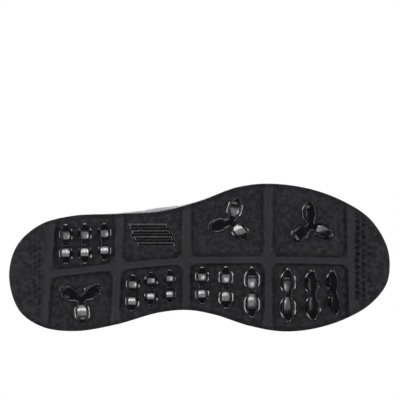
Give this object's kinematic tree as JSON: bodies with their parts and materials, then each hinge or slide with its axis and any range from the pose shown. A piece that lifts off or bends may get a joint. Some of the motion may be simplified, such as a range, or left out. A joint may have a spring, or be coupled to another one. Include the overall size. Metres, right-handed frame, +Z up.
{
  "type": "golf shoe",
  "caption": "Low spikeless golf shoe for the right foot, with a lugged rubber sole, foam midsole, padded collar and a hook-and-loop instep strap.",
  "frame": {"origin": "on the ground, under the middle of the shoe's box", "axes": "+X to the toe, +Y to the inner (medial) side, +Z up"},
  "size_m": [0.3003, 0.1165, 0.1303],
  "materials": {
    "outsole_rubber": "matte charcoal rubber",
    "gloss_lug": "polished black urethane",
    "midsole_foam": "pale grey moulded foam",
    "shank_plastic": "moulded nylon",
    "board": "fibre board",
    "insole_foam": "grey open foam",
    "lining_cloth": "brushed black lining cloth",
    "upper_knit": "black engineered mesh",
    "overlay_film": "satin black overlay film",
    "synthetic_leather": "fine-grained black synthetic leather",
    "webbing": "woven black webbing"
  },
  "bodies": {
    "shoe": {"twin_lug_heel_outer_1": "gloss_lug", "twin_lug_heel_outer_2": "gloss_lug", "twin_lug_heel_outer_3": "gloss_lug", "twin_lug_waist_inner_1": "gloss_lug", "twin_lug_waist_inner_2": "gloss_lug", "twin_lug_waist_inner_3": "gloss_lug", "twin_lug_ball_inner_1": "gloss_lug", "twin_lug_ball_inner_2": "gloss_lug", "twin_lug_ball_inner_3": "gloss_lug", "twin_lug_toe_inner_1": "gloss_lug", "twin_lug_toe_inner_2": "gloss_lug", "twin_lug_toe_inner_3": "gloss_lug", "trefoil_lug_heel_inner": "gloss_lug", "trefoil_lug_ball_outer": "gloss_lug", "trefoil_lug_toe_outer": "gloss_lug", "waist_insert": "gloss_lug", "outsole": "outsole_rubber", "midsole": "midsole_foam", "shank_plate": "shank_plastic", "strobel_board": "board", "lining": "lining_cloth", "toe_puff": "board", "heel_counter": "board", "foam_backing_inner": "insole_foam", "foam_backing_outer": "insole_foam", "vamp": "upper_knit", "quarter_inner": "upper_knit", "quarter_outer": "upper_knit", "tongue": "upper_knit", "toe_guard": "overlay_film", "heel_cap": "overlay_film", "throat_facing_inner": "synthetic_leather", "throat_facing_outer": "synthetic_leather", "saddle_inner": "synthetic_leather", "saddle_outer": "synthetic_leather", "strap_anchor": "synthetic_leather", "collar_cushion": "lining_cloth", "heel_pull_tab": "webbing", "strap_loop_patch": "lining_cloth"},
    "insole": {"insole_foam": "insole_foam", "insole_cover": "lining_cloth"},
    "strap": {"closure_strap": "synthetic_leather", "strap_hook_patch": "webbing"}
  },
  "joints": [
    {"name": "strap_open", "type": "hinge", "parent": "shoe", "child": "strap", "pos_m": [0.0081, 0.0352, 0.0657], "axis": [-0.9752, -0.115, 0.189], "range_deg": [0, 75]},
    {"name": "insole_lift", "type": "hinge", "parent": "shoe", "child": "insole", "pos_m": [0.1385, 0.006, 0.034], "axis": [0, 1, 0], "range_deg": [0, 4]}
  ]
}
